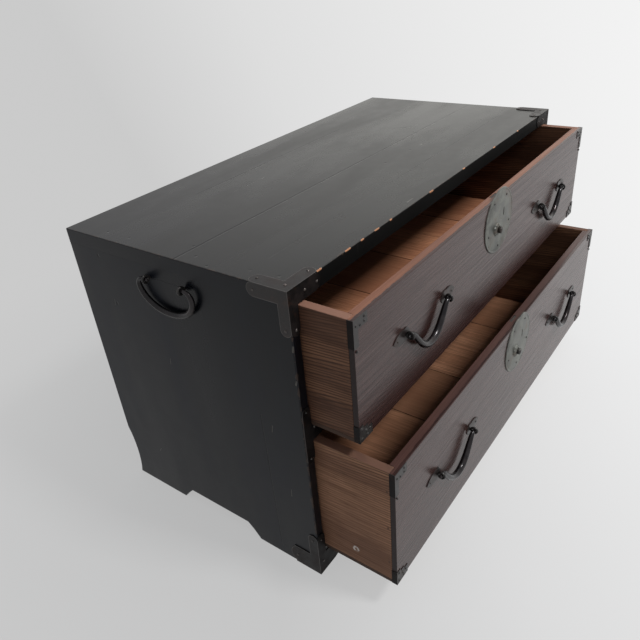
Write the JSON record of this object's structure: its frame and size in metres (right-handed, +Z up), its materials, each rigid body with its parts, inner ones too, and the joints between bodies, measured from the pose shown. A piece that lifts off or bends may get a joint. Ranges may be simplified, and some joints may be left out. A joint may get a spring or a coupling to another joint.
{
  "type": "tansu chest",
  "caption": "Low tansu chest section with two wide drawers, round lock plates, forged bail handles, iron corners and a carrying bail at each end.",
  "frame": {"origin": "on the floor at the centre of the case's footprint", "axes": "+X to the right of someone facing the drawers, +Y to the back, +Z up"},
  "size_m": [0.8994, 0.5655, 0.5024],
  "materials": {
    "bail_iron": "polished black",
    "case_lacquer": "black lacquer rubbed to a low sheen",
    "case_wood": "unfinished, darkened with age",
    "drawer_wood": "bare, warm brown with age",
    "front_lacquer": "thin dark stain with the grain showing",
    "lock_iron": "grey-green patina",
    "lock_works_iron": "dark",
    "nail_iron": "worn bright on the crowns",
    "peg_wood": "bare",
    "plate_iron": "black lacquer worn to brown iron"
  },
  "bodies": {
    "case": {"back_boards": "case_wood", "bottom_board": "case_wood", "bottom_left_corner_plate": "plate_iron", "bottom_rail": "case_lacquer", "bottom_right_corner_plate": "plate_iron", "case_nails": "nail_iron", "case_pegs": "peg_wood", "drawer_stops": "case_wood", "left_rail_plate": "plate_iron", "left_runner": "case_wood", "left_side": "case_lacquer", "left_side_bail_eyes": "lock_works_iron", "middle_rail": "case_lacquer", "rail_strike_plate": "plate_iron", "right_rail_plate": "plate_iron", "right_runner": "case_wood", "right_side": "case_lacquer", "right_side_bail_eyes": "lock_works_iron", "top_board": "case_lacquer", "top_left_corner_cap": "plate_iron", "top_right_corner_cap": "plate_iron", "top_strike_plate": "plate_iron"},
    "top_drawer": {"top_bail_eyes": "lock_works_iron", "top_bail_plates": "plate_iron", "top_drawer_back": "drawer_wood", "top_drawer_corner_irons": "plate_iron", "top_drawer_floor_boards": "drawer_wood", "top_drawer_front": "front_lacquer", "top_drawer_left_side": "drawer_wood", "top_drawer_nails": "nail_iron", "top_drawer_pegs": "peg_wood", "top_drawer_right_side": "drawer_wood", "top_lock_box": "lock_works_iron", "top_lock_plate": "lock_iron"},
    "bottom_drawer": {"bottom_bail_eyes": "lock_works_iron", "bottom_bail_plates": "plate_iron", "bottom_drawer_back": "drawer_wood", "bottom_drawer_corner_irons": "plate_iron", "bottom_drawer_floor_boards": "drawer_wood", "bottom_drawer_front": "front_lacquer", "bottom_drawer_left_side": "drawer_wood", "bottom_drawer_nails": "nail_iron", "bottom_drawer_pegs": "peg_wood", "bottom_drawer_right_side": "drawer_wood", "bottom_lock_box": "lock_works_iron", "bottom_lock_plate": "lock_iron"},
    "bottom_left_bail": {"bottom_left_bail": "bail_iron"},
    "bottom_lock_bolt": {"bottom_lock_bolt": "lock_works_iron"},
    "bottom_lock_button": {"bottom_lock_button": "lock_works_iron"},
    "bottom_right_bail": {"bottom_right_bail": "bail_iron"},
    "left_side_bail": {"left_side_bail": "bail_iron"},
    "right_side_bail": {"right_side_bail": "bail_iron"},
    "top_left_bail": {"top_left_bail": "bail_iron"},
    "top_lock_bolt": {"top_lock_bolt": "lock_works_iron"},
    "top_lock_button": {"top_lock_button": "lock_works_iron"},
    "top_right_bail": {"top_right_bail": "bail_iron"}
  },
  "joints": [
    {"name": "top_drawer_slide", "type": "slide", "parent": "case", "child": "top_drawer", "axis": [0, -1, 0], "range_m": [-0.076, 0.224]},
    {"name": "top_left_bail_hinge", "type": "hinge", "parent": "top_drawer", "child": "top_left_bail", "pos_m": [-0.245, -0.297, 0.3912], "axis": [-1, 0, 0], "range_deg": [0, 110]},
    {"name": "top_right_bail_hinge", "type": "hinge", "parent": "top_drawer", "child": "top_right_bail", "pos_m": [0.245, -0.297, 0.3912], "axis": [-1, 0, 0], "range_deg": [0, 110]},
    {"name": "top_lock_button_slide", "type": "slide", "parent": "top_drawer", "child": "top_lock_button", "axis": [0, 1, 0], "range_m": [0, 0.006], "stiffness_N_per_m": 60},
    {"name": "top_lock_bolt_slide", "type": "slide", "parent": "top_drawer", "child": "top_lock_bolt", "axis": [0, 0, 1], "range_m": [0, 0.006]},
    {"name": "bottom_drawer_slide", "type": "slide", "parent": "case", "child": "bottom_drawer", "axis": [0, -1, 0], "range_m": [-0.1253, 0.1747]},
    {"name": "bottom_left_bail_hinge", "type": "hinge", "parent": "bottom_drawer", "child": "bottom_left_bail", "pos_m": [-0.245, -0.3463, 0.1661], "axis": [-1, 0, 0], "range_deg": [0, 110]},
    {"name": "bottom_right_bail_hinge", "type": "hinge", "parent": "bottom_drawer", "child": "bottom_right_bail", "pos_m": [0.245, -0.3463, 0.1661], "axis": [-1, 0, 0], "range_deg": [0, 110]},
    {"name": "bottom_lock_button_slide", "type": "slide", "parent": "bottom_drawer", "child": "bottom_lock_button", "axis": [0, 1, 0], "range_m": [0, 0.006], "stiffness_N_per_m": 60},
    {"name": "bottom_lock_bolt_slide", "type": "slide", "parent": "bottom_drawer", "child": "bottom_lock_bolt", "axis": [0, 0, 1], "range_m": [0, 0.006]},
    {"name": "left_side_bail_hinge", "type": "hinge", "parent": "case", "child": "left_side_bail", "pos_m": [-0.443, 0, 0.46], "axis": [0, 1, 0], "range_deg": [0, 110]},
    {"name": "right_side_bail_hinge", "type": "hinge", "parent": "case", "child": "right_side_bail", "pos_m": [0.443, 0, 0.46], "axis": [0, -1, 0], "range_deg": [0, 110]}
  ],
  "couplings": [
    {"joint": "top_lock_bolt_slide", "follows": "top_lock_button_slide", "ratio": 1},
    {"joint": "bottom_lock_bolt_slide", "follows": "bottom_lock_button_slide", "ratio": 1}
  ]
}
